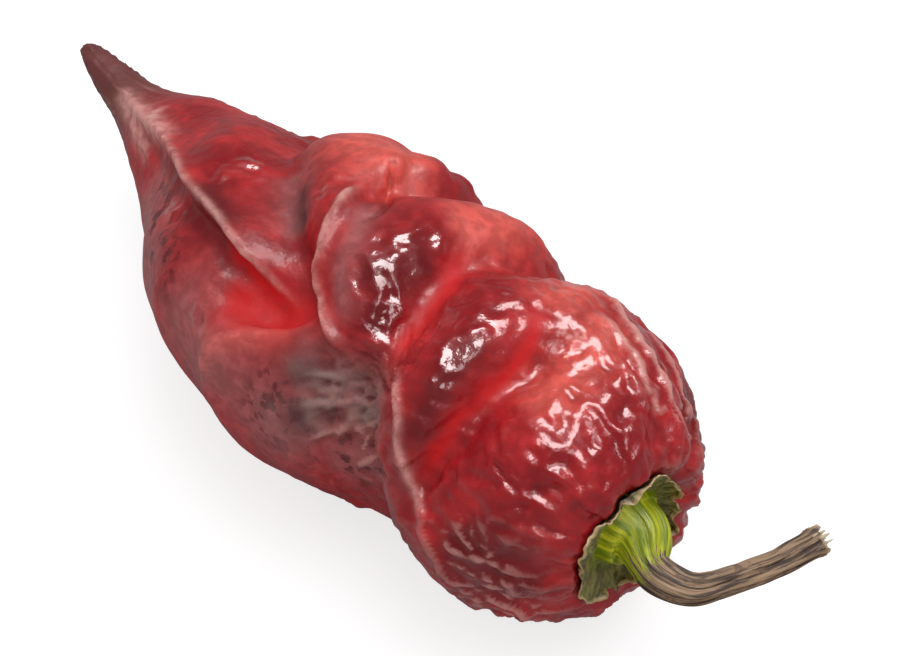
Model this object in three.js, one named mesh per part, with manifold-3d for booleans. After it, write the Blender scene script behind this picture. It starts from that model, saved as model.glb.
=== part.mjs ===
// A ripe superhot chilli pepper as picked, lying on its side: a lumpy pod with deep folds and a
// pointed tail, a frilled calyx, and a short stem that flares into a foot on the pod.
//
// Millimetres, +Z up, +X from the tail towards the stem. The pod rests on Z = 0, and the origin is
// under the middle of the whole pepper.
import * as THREE from "three";
import { mergeVertices } from "three/addons/utils/BufferGeometryUtils.js";
import Module from "manifold-3d";

// ---- Driving dimensions -------------------------------------------------------------------------

const POD_LENGTH = 74; // from the shoulder beside the calyx to the tip of the tail
const POD_RADIUS = 13.4; // half the pod's width where nothing bulges
const LUMP_STRENGTH = 1; // how strongly the wall bulges
const FOLD_STRENGTH = 1; // how deeply it folds
const FOLD_SHARPNESS = 1.6; // 1 is a sharp crease, 2 a soft dip
const FOLD_FADE = 0.2; // share of a fold's path over which each of its ends fades out
const PUCKER_DEPTH = 0.3; // of the puckers that run out from the calyx
const PUCKERS = 11;
const RIPPLE = 0.3; // height of the small unevenness all over
const PRESSED_FLAT = 0.8; // how far the soft wall gives where the pod lies on a surface

const CALYX_RADIUS = 5.6; // from the stem's axis to the middle of the frilled edge
const CALYX_WALL = 0.7;
const CALYX_RISE = 1.0; // how far the calyx stands out from the seat beside the foot
const CALYX_CURL = 1.5; // how much further its edge stands out
const CALYX_LOBES = 6;
const FRILL = 0.5; // how far the lobes reach in and out of the edge's middle

const FOOT_RADIUS = 3.4; // where the stem meets the pod
const FOOT_LENGTH = 5.2; // from the pod to the neck
const FOOT_HOLLOW = 1.15; // 1 is a straight cone, more is hollower
const FOOT_RIBS = 7;
const RIB_DEPTH = 0.18;
const NECK_RADIUS = 1.4; // where the foot has narrowed into the stem
const STEM_RADIUS = 1.05; // beyond the bend
const STEM_REACH = 5.4; // out from the pod, before the bend
const STEM_BEND = 3.8; // radius of the bend
const STEM_TAIL = 9.2; // beyond the bend, to the broken end
const STEM_SWAY = 1.0; // sideways, away from the bend, on the way out
const STEM_LEAN = 1.4; // how far the part beyond the bend turns away from the pod
const STEM_DROOP = 2.4; // how far the broken end hangs below the foot

const CLEARANCE = 0.3; // between neighbouring pieces

// Mesh fineness.
const POD_RINGS = 86;
const POD_SIDES = 64;
const STEM_RINGS = 32;
const STEM_SIDES = 20;
const CALYX_SIDES = 72;
const FOLD_STEPS = 24;

const RADIANS = Math.PI / 180;

// ---- The pod's smooth form ----------------------------------------------------------------------
// A point of the pod has two coordinates: share, from 0 in the middle of the calyx seat to 1 at the
// tip of the tail, measured along the outline, and turn, in degrees round the pod's axis from 0 at
// the top to 90 at the side that faces -Y.

// Distance from the shoulder as a share of POD_LENGTH, and radius as a share of POD_RADIUS.
const OUTLINE = new THREE.SplineCurve(
  [
    [0.03, 0],
    [0.028, 0.22],
    [0.01, 0.4],
    [0.005, 0.52],
    [0.035, 0.68],
    [0.09, 0.84],
    [0.17, 0.94],
    [0.25, 0.93],
    [0.34, 0.98],
    [0.42, 0.97],
    [0.5, 0.93],
    [0.6, 0.8],
    [0.69, 0.59],
    [0.76, 0.43],
    [0.83, 0.29],
    [0.89, 0.18],
    [0.94, 0.13],
    [0.985, 0.07],
    [1, 0],
  ].map(([along, radius]) => new THREE.Vector2(along * POD_LENGTH, radius * POD_RADIUS)),
);
const OUTLINE_LENGTH = OUTLINE.getLength();

// The axis wanders sideways and up and down on its way from the shoulder to the tail.
const AXIS = new THREE.CatmullRomCurve3(
  [
    [0, 1.2, 12.4],
    [0.17, 0.9, 12.6],
    [0.3, 0.2, 12.8],
    [0.45, -1.6, 12.8],
    [0.6, -1.2, 11.7],
    [0.75, 0.6, 9.8],
    [0.88, 1.8, 9.6],
    [1, 1.6, 12],
  ].map(([along, side, height]) => new THREE.Vector3(along * POD_LENGTH, side, height)),
  false,
  "catmullrom",
  0.5,
);

// ---- Its lumps and folds ------------------------------------------------------------------------

// A mound of the wall round one [share, turn] point, or a hollow where height is negative. It fades
// over the half-lengths along and around.
const LUMPS = [
  { at: [0.2, -30], height: 0.7, along: 6, around: 6 },
  { at: [0.37, -42], height: 1.0, along: 5, around: 6 },
  { at: [0.54, -40], height: 1.6, along: 6, around: 6 },
  { at: [0.385, 12], height: 1.5, along: 6, around: 8 },
  { at: [0.275, 26], height: 1.3, along: 3.5, around: 8 },
  { at: [0.26, 68], height: 0.9, along: 3.5, around: 6 },
  { at: [0.14, 40], height: 1.1, along: 6, around: 9 },
  { at: [0.66, 4], height: 0.9, along: 6, around: 5 },
  { at: [0.79, -24], height: 1.2, along: 5, around: 5 },
  { at: [0.6, 66], height: 0.8, along: 8, around: 6 },
  { at: [0.43, 90], height: 1.0, along: 7, around: 8 },
  { at: [0.2, 110], height: 0.7, along: 6, around: 7 },
  { at: [0.455, 47], height: -2.2, along: 5, around: 3.5 },
  { at: [0.2, 180], height: 2.0, along: 8, around: 8 },
  { at: [0.46, 165], height: 1.3, along: 8, around: 8 },
  { at: [0.3, -120], height: 1.2, along: 7, around: 8 },
  { at: [0.52, -115], height: 0.9, along: 8, around: 7 },
];

// A fold follows a path of [share, turn] points. The wall sinks by depth along it, or rises to a
// ridge where depth is negative. The slopes on the left and right of the path, seen from outside,
// have their own half-widths: a fold can be steep on one side and gentle on the other.
const FOLDS = [
  // Two valleys over the back and down the near side, between the base and the middle.
  {
    path: [[0.2, -20], [0.222, 6], [0.228, 28], [0.23, 46], [0.238, 66], [0.25, 86]],
    depth: 2.5, left: 2.2, right: 1.6,
  },
  {
    path: [[0.29, -90], [0.32, -43], [0.335, -24], [0.35, -4], [0.332, 22], [0.32, 46]],
    depth: 2.5, left: 1.8, right: 2.2,
  },
  // The middle bulge rolls over its own edge, with a crease in its back.
  {
    path: [[0.6, -90], [0.62, -44], [0.61, -20], [0.555, 0], [0.49, 18], [0.44, 32], [0.37, 50]],
    depth: 2.8, left: 1.6, right: 4.0,
  },
  {
    path: [[0.4, -100], [0.43, -60], [0.445, -31], [0.472, -22], [0.455, -2]],
    depth: 2.2, left: 1.2, right: 1.8,
  },
  // The waist, hollow on the tail's side and steep where the base bulges over it.
  {
    path: [[0.36, 36], [0.335, 50], [0.315, 64], [0.3, 78], [0.285, 94], [0.265, 114], [0.24, 140]],
    depth: 3.2, left: 1.4, right: 4.5,
  },
  // The sharp ridge from the tail to the tuck, and the groove under it.
  {
    path: [[0.87, 30], [0.78, 30], [0.7, 30], [0.62, 31], [0.54, 32], [0.49, 34], [0.43, 40]],
    depth: -1.0, left: 1.4, right: 1.2,
  },
  {
    path: [[0.84, 44], [0.76, 42], [0.68, 39], [0.6, 38], [0.53, 40], [0.47, 46]],
    depth: 0.9, left: 1.0, right: 2.6,
  },
  // The upper edge of the lower lobe.
  {
    path: [[0.38, 44], [0.42, 50], [0.455, 58], [0.48, 66], [0.5, 76]],
    depth: -1.4, left: 3.5, right: 1.3,
  },
  // The crumpled shoulder.
  {
    path: [[0.24, -50], [0.17, -28], [0.145, -27], [0.11, -32], [0.08, -48]],
    depth: -0.7, left: 1.0, right: 1.0,
  },
  // Under the pod and round its far side.
  {
    path: [[0.27, 150], [0.33, 168], [0.35, 190], [0.34, 215], [0.3, 240]],
    depth: 2.2, left: 2.4, right: 3,
  },
  {
    path: [[0.13, -100], [0.24, -92], [0.36, -82], [0.46, -84], [0.58, -96]],
    depth: 1.7, left: 2, right: 2.6,
  },
  {
    path: [[0.42, -150], [0.5, -140], [0.6, -146], [0.72, -150]],
    depth: 1.5, left: 2, right: 2,
  },
  {
    path: [[0.74, 130], [0.66, 122], [0.58, 124], [0.52, 140]],
    depth: 1.4, left: 2, right: 1.6,
  },
];

// Each path as closely spaced points.
const FOLD_PATHS = FOLDS.map(({ path }) => {
  const knots = path.map(([share, turn]) => new THREE.Vector2(share, turn));
  return new THREE.SplineCurve(knots).getPoints(FOLD_STEPS);
});

const { clamp, smoothstep } = THREE.MathUtils;

// The shortest way round from one turn to another, in radians.
function turnBetween(from, to) {
  return (((((to - from) % 360) + 540) % 360) - 180) * RADIANS;
}

function lumpLift({ at, height, along, around }, share, turn, radius) {
  const u = ((share - at[0]) * OUTLINE_LENGTH) / along;
  const v = (turnBetween(at[1], turn) * radius) / around;
  return LUMP_STRENGTH * height * Math.exp(-u * u - v * v);
}

// How far the wall is lifted by one fold: its depth where the path is nearest, fading with the
// distance to the path and towards the path's two ends.
function foldLift({ depth, left, right }, points, share, turn, radius) {
  let nearest = Infinity;
  let side = 0;
  let place = 0;
  for (let i = 1; i < points.length; i++) {
    const [start, end] = [points[i - 1], points[i]];
    const startU = (start.x - share) * OUTLINE_LENGTH;
    const startV = turnBetween(turn, start.y) * radius;
    const stepU = (end.x - start.x) * OUTLINE_LENGTH;
    const stepV = (end.y - start.y) * RADIANS * radius;
    const within = clamp(-(startU * stepU + startV * stepV) / (stepU ** 2 + stepV ** 2), 0, 1);
    const distance = Math.hypot(startU + stepU * within, startV + stepV * within);
    if (distance < nearest) {
      nearest = distance;
      side = stepV * startU - stepU * startV;
      place = (i - 1 + within) / (points.length - 1);
    }
  }
  const fade = smoothstep(place, 0, FOLD_FADE) * smoothstep(1 - place, 0, FOLD_FADE);
  const width = side > 0 ? left : right;
  return -FOLD_STRENGTH * depth * fade * Math.exp(-Math.pow(nearest / width, FOLD_SHARPNESS));
}

// Puckers run out from the calyx, and a small unevenness covers the body up to the tail.
function unevenness(share, turn) {
  const angle = turn * RADIANS;
  const pucker = smoothstep(share, 0.03, 0.08) * (1 - smoothstep(share, 0.1, 0.22));
  const body = smoothstep(share, 0.08, 0.2) * (1 - smoothstep(share, 0.6, 0.85));
  const wave = Math.sin(48 * share + 2 * Math.sin(angle)) * Math.cos(3 * angle + 20 * share);
  return PUCKER_DEPTH * pucker * Math.cos(PUCKERS * angle + 9 * share) + RIPPLE * body * wave;
}

function wallLift(share, turn, radius) {
  let lift = unevenness(share, turn);
  for (const lump of LUMPS) lift += lumpLift(lump, share, turn, radius);
  FOLDS.forEach((fold, i) => {
    lift += foldLift(fold, FOLD_PATHS[i], share, turn, radius);
  });
  return lift;
}

function axisAt(along) {
  // The curve's X grows all the way, so a few halvings find the point at this distance.
  let low = 0;
  let high = 1;
  for (let i = 0; i < 24; i++) {
    const middle = (low + high) / 2;
    if (AXIS.getPoint(middle).x < along) low = middle;
    else high = middle;
  }
  const point = AXIS.getPoint(low);
  return { side: point.y, height: point.z };
}

// A point that stands extra outside the wall. The two ends stay on the axis.
function podPoint(share, turn, extra) {
  const at = OUTLINE.getPointAt(share);
  const tangent = OUTLINE.getTangentAt(share);
  const atEnd = share === 0 || share === 1;
  const lift = extra + (atEnd ? 0 : wallLift(share, turn, at.y));
  const along = at.x - tangent.y * lift;
  const radius = atEnd ? 0 : Math.max(0, at.y + tangent.x * lift);
  const axis = axisAt(at.x);
  return new THREE.Vector3(
    -along,
    axis.side - radius * Math.sin(turn * RADIANS),
    axis.height + radius * Math.cos(turn * RADIANS),
  );
}

function podGeometry(extra = 0) {
  const geometry = new THREE.SphereGeometry(1, POD_SIDES, POD_RINGS);
  const position = geometry.attributes.position;
  const uv = geometry.attributes.uv;
  for (let i = 0; i < position.count; i++) {
    const share = clamp(1 - uv.getY(i), 0, 1);
    const turn = 360 * (uv.getX(i) % 1);
    const point = podPoint(share, turn, extra);
    position.setXYZ(i, point.x, point.y, point.z);
  }
  return geometry;
}

// ---- Stem and calyx -----------------------------------------------------------------------------

// The middle of the seat, on the pod's skin.
const SEAT = podPoint(0, 0, 0);

// Square out from the seat, round a quarter turn towards +Y, and straight on to the broken end.
function stemPath() {
  const halfBend = STEM_BEND * Math.SQRT1_2;
  const side = -STEM_SWAY;
  return new THREE.CatmullRomCurve3(
    [
      [CLEARANCE, 0, 0],
      [0.3 * STEM_REACH, 0, 0],
      [0.55 * STEM_REACH, 0, 0.02],
      [STEM_REACH, side, 0.25],
      [STEM_REACH + halfBend, side + STEM_BEND - halfBend, 0.45],
      [STEM_REACH + STEM_BEND, side + STEM_BEND, 0.6],
      [STEM_REACH + STEM_BEND + 0.7 * STEM_LEAN, side + STEM_BEND + STEM_TAIL / 2, 0.85],
      [STEM_REACH + STEM_BEND + STEM_LEAN, side + STEM_BEND + STEM_TAIL, 1],
    ].map(([out, aside, droop]) =>
      new THREE.Vector3(out, aside, -droop * STEM_DROOP).add(SEAT),
    ),
  );
}

function stemRadius(distance, angle) {
  const foot = clamp(1 - distance / FOOT_LENGTH, 0, 1);
  const neck = 1 - smoothstep(distance, FOOT_LENGTH, FOOT_LENGTH + STEM_BEND);
  const round = STEM_RADIUS + (NECK_RADIUS - STEM_RADIUS) * neck;
  const flare = (FOOT_RADIUS - NECK_RADIUS) * Math.pow(foot, FOOT_HOLLOW);
  const rib = (RIB_DEPTH * neck * (Math.cos(FOOT_RIBS * angle) - 1)) / 2;
  return round + flare + rib;
}

// The stem, with its side extra outside the skin.
function stemGeometry(extra = 0) {
  const geometry = new THREE.CylinderGeometry(1, 1, 1, STEM_SIDES, STEM_RINGS);
  const path = stemPath();
  const length = path.getLength();
  const frames = path.computeFrenetFrames(STEM_RINGS);
  const position = geometry.attributes.position;
  for (let i = 0; i < position.count; i++) {
    const place = 0.5 - position.getY(i);
    const ring = Math.round(place * STEM_RINGS);
    const angle = Math.atan2(position.getX(i), position.getZ(i));
    // The middle of each end cap stays on the path.
    const outward = Math.hypot(position.getX(i), position.getZ(i));
    const spread = outward * (stemRadius(place * length, angle) + extra);
    const point = path
      .getPointAt(place)
      .addScaledVector(frames.normals[ring], spread * Math.cos(angle))
      .addScaledVector(frames.binormals[ring], -spread * Math.sin(angle));
    position.setXYZ(i, point.x, point.y, point.z);
  }
  return geometry;
}

// A dished ring, frilled more and more towards its edge. Its hole is narrower than the foot, which
// is cut out of it afterwards.
function calyxGeometry() {
  const hole = NECK_RADIUS;
  const width = CALYX_RADIUS - hole;
  // Share of the width, share of the curl and share of the wall: the underside out to the edge, then
  // the upper side back to the hole.
  const section = [
    [0, 0, 0],
    [0.6, 0.15, 0],
    [1, 1, 0],
    [1, 1, 0.5],
    [0.95, 1, 1],
    [0.55, 0.2, 1],
    [0, 0, 1],
    [0, 0, 0],
  ].map(([outward, curl, wall]) => {
    const out = CALYX_RISE + curl * CALYX_CURL + wall * CALYX_WALL;
    return new THREE.Vector2(hole + outward * width, out);
  });
  const geometry = new THREE.LatheGeometry(section, CALYX_SIDES);
  const position = geometry.attributes.position;
  for (let i = 0; i < position.count; i++) {
    const radius = Math.hypot(position.getX(i), position.getZ(i));
    const angle = Math.atan2(position.getX(i), position.getZ(i));
    const outward = (radius - hole) / width;
    const wave = Math.cos(CALYX_LOBES * angle) + 0.5 * Math.cos((CALYX_LOBES + 3) * angle + 1);
    const frilled = radius + FRILL * outward * wave;
    const out = position.getY(i) + 0.5 * FRILL * outward * Math.sin(CALYX_LOBES * angle);
    position.setXYZ(
      i,
      SEAT.x + out,
      SEAT.y - frilled * Math.sin(angle),
      SEAT.z + frilled * Math.cos(angle),
    );
  }
  return geometry;
}

// ---- Joining and cutting ------------------------------------------------------------------------

const wasm = await Module();
wasm.setup();

function toSolid(geometry) {
  geometry.deleteAttribute("normal");
  geometry.deleteAttribute("uv");
  const merged = mergeVertices(geometry, 1e-4);
  const mesh = new wasm.Mesh({
    numProp: 3,
    vertProperties: new Float32Array(merged.attributes.position.array),
    triVerts: new Uint32Array(merged.index.array),
  });
  return new wasm.Manifold(mesh);
}

function toGeometry(solid) {
  const mesh = solid.getMesh();
  const geometry = new THREE.BufferGeometry();
  geometry.setAttribute("position", new THREE.BufferAttribute(mesh.vertProperties, 3));
  geometry.setIndex(new THREE.BufferAttribute(mesh.triVerts, 1));
  geometry.computeVertexNormals();
  return geometry;
}

// A block that fills everything below the height at which the pod is pressed flat.
function tableGeometry(height) {
  const size = 4 * POD_LENGTH;
  const geometry = new THREE.BoxGeometry(size, size, size);
  geometry.translate(0, 0, height - size / 2);
  return geometry;
}

// ---- The pepper ---------------------------------------------------------------------------------

const softPod = podGeometry();
softPod.computeBoundingBox();
const FLOOR = softPod.boundingBox.min.z + PRESSED_FLAT;

const roomForPod = toSolid(podGeometry(CLEARANCE));
const roomForStem = toSolid(stemGeometry(CLEARANCE));
const podSolid = toSolid(softPod).subtract(toSolid(tableGeometry(FLOOR)));
const stemSolid = toSolid(stemGeometry()).subtract(roomForPod);
const calyxSolid = toSolid(calyxGeometry()).subtract(roomForPod).subtract(roomForStem);

const pepper = new THREE.Group();
pepper.name = "chilli_pepper";

function addPiece(name, solid, color, roughness) {
  const material = new THREE.MeshStandardMaterial({ color, roughness, metalness: 0 });
  const piece = new THREE.Mesh(toGeometry(solid), material);
  piece.name = name;
  pepper.add(piece);
}

addPiece("pod", podSolid, 0x8e1218, 0.3);
addPiece("stem", stemSolid, 0x5c5038, 0.7);
addPiece("calyx", calyxSolid, 0x6f7f26, 0.6);

// The origin goes under the middle of the whole pepper, on the surface it lies on.
const bounds = new THREE.Box3().setFromObject(pepper);
const middle = bounds.getCenter(new THREE.Vector3());
for (const piece of pepper.children) piece.geometry.translate(-middle.x, -middle.y, -FLOOR);

export default pepper;
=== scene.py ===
"""A ripe superhot chilli pepper lying on a pale table.

Sizes are in millimetres in the CAD model's frame: +Z is up, +X runs from the tail towards the stem,
and the pod rests on Z = 0. Meshes are scaled to metres when they are made.
"""

import math

import bpy
import numpy as np
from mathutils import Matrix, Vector, kdtree, noise


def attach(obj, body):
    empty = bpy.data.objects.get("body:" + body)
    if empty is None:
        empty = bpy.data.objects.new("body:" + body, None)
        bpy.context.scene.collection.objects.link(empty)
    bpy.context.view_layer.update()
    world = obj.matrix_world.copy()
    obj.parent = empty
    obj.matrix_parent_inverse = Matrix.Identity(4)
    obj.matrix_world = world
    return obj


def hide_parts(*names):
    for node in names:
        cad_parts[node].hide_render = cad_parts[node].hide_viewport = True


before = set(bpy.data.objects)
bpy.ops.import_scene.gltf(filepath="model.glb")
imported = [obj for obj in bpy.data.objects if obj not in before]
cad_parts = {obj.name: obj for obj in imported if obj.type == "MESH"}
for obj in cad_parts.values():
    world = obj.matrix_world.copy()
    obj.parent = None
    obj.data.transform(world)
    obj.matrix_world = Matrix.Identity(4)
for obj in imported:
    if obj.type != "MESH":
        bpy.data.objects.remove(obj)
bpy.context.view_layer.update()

MM = 0.001
QUARTER_TURN = math.pi / 2

# ---- Sizes ----------------------------

POD_VOXEL = 0.28  # spacing of the pod's vertices
WELD_DISTANCE = 0.01  # joins the corners that the CAD model's facets share
SMOOTHING_PASSES = 14  # they take the CAD model's facets away
BULGE_PASSES = 300  # of the smooth copy that tells bulges from hollows
CREST_PASSES = 10  # of the smooth copy that tells the crests of small wrinkles
TRACE_STEP = 0.15  # spacing of the points of a fold or thin ridge
SPLINE_STEPS = 60  # between two knots, before the points are spaced evenly

# The pod's axis: distance from the shoulder, then Y and Z.
SHOULDER = 32.3
AXIS = np.array(
    [
        (0, 2.1, 13.2),
        (12.6, 1.8, 13.4),
        (22, 1.1, 13.6),
        (33, -0.7, 13.6),
        (44, -0.3, 12.5),
        (55, 1.5, 10.6),
        (65, 2.7, 10.4),
        (74, 2.5, 12.8),
    ]
)
TYPICAL_RADIUS = 12  # of the pod, round its axis
MM_PER_DEGREE = 0.17  # round the pod

# The middle of the seat on which the calyx and the stem stand.
SEAT = np.array([30.07, 2.12, 13.24])
SEAT_DEPTH = 3  # the base's skin round the seat is no further back than this
SEAT_CLEARANCE = 6.5  # so close to the seat the skin has no ridges, because the calyx lies on it

# ---- Folds and thin ridges of the pod ----
# Each path is a list of (distance from the shoulder, turn in degrees from the top towards -Y).
# A positive lift is a ridge and a negative one a groove. Width is the half-width.

STROKES = [
    # The sharp ridge from the tail to the tuck, with the groove under it and a fork at its top.
    {"path": [(67, 34), (62, 29), (56, 24.5), (50.5, 27), (45, 30), (39, 32), (34, 36), (28, 45)],
     "lift": 0.55, "width": 0.42},
    {"path": [(60, 36), (55, 33), (50, 35), (44, 37), (39, 39), (34, 43), (29, 50)],
     "lift": -0.6, "width": 0.9},
    {"path": [(67, 26), (62, 22), (57, 22), (52, 18)], "lift": 0.3, "width": 0.5},
    {"path": [(63, 41), (59, 47), (54, 46)], "lift": 0.3, "width": 0.5},
    # The rolled edge of the middle bulge, and the steep drop beside it.
    {"path": [(33, -18), (32, -5), (31, 5), (29.6, 16), (28.2, 27), (26.5, 36), (24, 42), (21.4, 46)],
     "lift": 0.8, "width": 0.55},
    {"path": [(38.5, -6), (36.5, 4), (34, 14), (30.6, 24), (28.6, 33), (26.2, 41)],
     "lift": -0.3, "width": 0.9},
    # The middle bulge runs on into the one beyond it, with a crack between them.
    {"path": [(30, -84), (31.6, -48), (33.4, -28), (31.5, -8)], "lift": 1.1, "width": 1.9},
    {"path": [(34, -28), (31.6, -22), (29.5, -11), (28.2, -1), (28.4, 5)], "lift": -0.7, "width": 0.3},
    # The upper edge of the lower lobe and the deep red pit above it.
    {"path": [(26, 44), (27.4, 49), (29.2, 56), (31, 61), (32.3, 70), (32.5, 86), (31, 100)],
     "lift": 0.5, "width": 0.75},
    {"path": [(36, 52), (32.5, 53), (29.5, 51), (26.5, 45)], "lift": -0.7, "width": 1.3},
    # The edge of the base where it bulges over the waist.
    {"path": [(17.8, 34), (16.6, 42), (14.8, 50), (13.6, 59), (12.6, 72), (10, 82), (7, 100), (5, 118)],
     "lift": 0.5, "width": 0.5},
    # Wrinkles that meet in the waist.
    {"path": [(22.6, 46), (20.6, 49), (16.4, 48)], "lift": 0.2, "width": 0.35},
    {"path": [(24, 58), (20.6, 56), (16.4, 49.5)], "lift": 0.2, "width": 0.32},
    {"path": [(24, 72), (20.4, 63), (16.4, 51)], "lift": 0.22, "width": 0.38},
    {"path": [(23, 86), (19.6, 72), (16, 52)], "lift": 0.2, "width": 0.35},
    {"path": [(20, 98), (17, 78), (15.6, 54)], "lift": 0.25, "width": 0.4},
    {"path": [(15.4, 84), (14.8, 68), (15, 54)], "lift": -0.25, "width": 0.5},
    {"path": [(28, 66), (26, 76), (24.6, 88), (23, 100)], "lift": 0.35, "width": 0.6},
    # The crumpled shoulder on the far side of the base.
    {"path": [(14, -40), (9.8, -36), (6.9, -33), (4.5, -34), (2.5, -35)], "lift": 0.5, "width": 0.45},
    {"path": [(12, -26), (9.5, -28), (7, -27), (4, -23), (1.8, -27)], "lift": 0.42, "width": 0.45},
    {"path": [(7, -20), (4.5, -18), (2.6, -21)], "lift": 0.4, "width": 0.4},
    {"path": [(10, -46), (6.5, -50), (3.5, -58), (2, -70)], "lift": 0.45, "width": 0.5},
    {"path": [(13, -58), (9, -66), (5, -78), (3, -92)], "lift": 0.45, "width": 0.5},
    # Crumples of the lower lobes beside the calyx.
    {"path": [(6, 100), (3, 116), (2.2, 136), (3, 158)], "lift": 0.5, "width": 0.55},
    {"path": [(9, 122), (6, 134), (5.4, 150), (6.5, 170)], "lift": 0.4, "width": 0.5},
    {"path": [(3.5, 74), (2.2, 88), (3.2, 104)], "lift": 0.4, "width": 0.45},
    # Under the pod and round its far side.
    {"path": [(20, 130), (24, 142), (30, 150), (37, 156)], "lift": 0.4, "width": 0.6},
    {"path": [(30, -66), (36, -72), (43, -70), (50, -60)], "lift": 0.45, "width": 0.6},
    {"path": [(16, -96), (22, -104), (29, -108), (36, -118)], "lift": 0.4, "width": 0.6},
    {"path": [(40, -108), (46, -98), (54, -96), (60, -90)], "lift": 0.4, "width": 0.5},
    {"path": [(38, 112), (45, 118), (52, 112), (60, 118)], "lift": 0.4, "width": 0.5},
    {"path": [(12, -140), (18, -150), (25, -152)], "lift": 0.4, "width": 0.6},
]

# Patches along paths of the same kind: a painted glow on the valley floors, lighter red painted where
# the bulges and crests catch the light, darker red skin with painted shade low on the base, grey bloom,
# a painted mauve sheen on the lower lobes, blotched dry skin, and pale skin with painted highlights on
# thin ridges.
# Painted glow: brighter, more saturated red on the valley floors, standing in for red light bounced
# between their walls. The same patches also smooth and dull the valleys.
VALLEY_GLOW = [
    {"path": [(14, -14), (11.8, 0), (11.4, 12), (11.6, 35), (11.8, 55), (12, 74)], "width": 0.7},
    {"path": [(23, -14), (20.2, 3), (19.9, 14), (19.4, 28), (17.8, 40)], "width": 1.0},
    {"path": [(35.5, 54), (31.5, 51), (28.5, 48), (26, 43)], "width": 2.4},
    {"path": [(38, 36), (33, 42), (29.5, 44), (27, 43)], "width": 0.9},
    {"path": [(22, -95), (20, -120)], "width": 1.2},
    {"path": [(33, 160), (30, 178)], "width": 2.2},
]
# Painted light: lighter orange-red on the tops of the bulges along the upper edge, on the top of the
# base and on the lower lobe's crest.
LIT_TOPS = [
    {"path": [(17, -62), (15.5, -40), (13.8, -26), (12.6, -8)], "width": 2.6},
    {"path": [(26, -64), (24, -40), (23.4, -28), (25, -12)], "width": 3.2},
    {"path": [(42, -46), (37, -28), (34, -26), (31, -44)], "width": 3.8},
    {"path": [(11, -34), (9, -20), (8, 0), (7.4, 26)], "width": 2.4},
    {"path": [(26.4, 46), (28, 53), (30.4, 60), (32.3, 70), (32.6, 84)], "width": 1.1},
    {"path": [(30, -130), (22, -140)], "width": 4.0},
]
# Darker maroon: dark skin on the middle bulges and a few other places, and painted shade low on the
# base's near side (the patches from (8, 70) and (17, 80)).
DARK_SKIN_AND_SHADE = [
    {"path": [(24.5, 24), (23, 12), (22.5, -2)], "width": 2.8},
    {"path": [(21, 34), (22.5, 24)], "width": 1.8},
    {"path": [(13.3, 8), (13.6, 24), (13.2, 44), (12.8, 60)], "width": 1.6},
    {"path": [(8, 70), (4, 84), (1.5, 104)], "width": 5.0},
    {"path": [(17, 80), (14.5, 96), (12, 112)], "width": 3.0},
    {"path": [(44, 24), (37, 34)], "width": 1.5},
    {"path": [(6, -60), (2, -84)], "width": 4.0},
]
BLOOM = [
    {"path": [(28, 60), (22.6, 58), (15.6, 47)], "width": 2.4},
    {"path": [(26, 84), (21, 68), (15.6, 49)], "width": 2.6},
    {"path": [(37.5, -2), (35.5, 6), (33, 14)], "width": 1.2},
]
# Painted sheen: greyish mauve over the lower lobes and the strips beside the rolled edge, standing in
# for the pale table's reflection.
MAUVE_SHEEN = [
    {"path": [(42, 66), (34, 74), (27, 80), (20, 90)], "width": 5.0},
    {"path": [(26, 64), (21, 60), (17, 54)], "width": 3.0},
    {"path": [(22, 98), (17, 84), (13, 92)], "width": 3.0},
    {"path": [(40, -8), (36, 6), (33, 18)], "width": 1.8},
    {"path": [(30, -8), (28, 8), (26.6, 20), (25, 30), (22.6, 38)], "width": 1.3},
    {"path": [(56, 60), (48, 74), (40, 84)], "width": 4.5},
]
DRY = [
    {"path": [(29, 70), (24, 76), (17, 72)], "width": 4.5},
    {"path": [(22, 92), (15, 88)], "width": 4.0},
    {"path": [(54, 52), (46, 58), (38, 62)], "width": 2.6},
]
# Pale pink: pale skin at the tail's base, and painted highlights along the thin ridges (the narrow
# paths).
PALE_SKIN_AND_HIGHLIGHT = [
    {"path": [(67.5, 32), (63, 38), (59, 45), (56, 48)], "width": 1.1},
    {"path": [(64, 30), (58, 25), (53, 25)], "width": 1.2},
    {"path": [(60, 24), (56, 24.5), (50.5, 27), (45, 30), (39, 32), (34, 36), (29, 43)], "width": 0.3},
    {"path": [(58, 36), (57.5, 26), (59.5, 16), (60, 4)], "width": 0.8},
    {"path": [(32.5, -12), (31.2, 5), (29.6, 16), (28.2, 27), (26.5, 36), (23, 44)], "width": 0.36},
    {"path": [(17.4, 37), (14.8, 50), (13.6, 59), (12.6, 72), (10, 82)], "width": 0.35},
    {"path": [(13, -39), (9.8, -36), (6.9, -33), (4.5, -34), (2.5, -35)], "width": 0.26},
    {"path": [(11, -27), (7, -27), (4, -23), (1.8, -27)], "width": 0.24},
    {"path": [(10, -46), (6.5, -50), (3.5, -58)], "width": 0.26},
]
# Where the sharp crests of the wrinkles get a painted highlight, a pale pink.
CREST_HIGHLIGHTS = [
    {"path": [(14, -38), (7, -33), (0.5, -36)], "width": 2.4},
    {"path": [(9, -48), (4, -52), (1, -60)], "width": 2.2},
    {"path": [(8, 66), (5, 90), (3, 140)], "width": 4.0},
    {"path": [(24, 92), (18, 82), (14, 92)], "width": 3.0},
    {"path": [(68, 30), (63, 34), (56, 40)], "width": 2.6},
    {"path": [(64, 12), (57, 4)], "width": 2.0},
]
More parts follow.
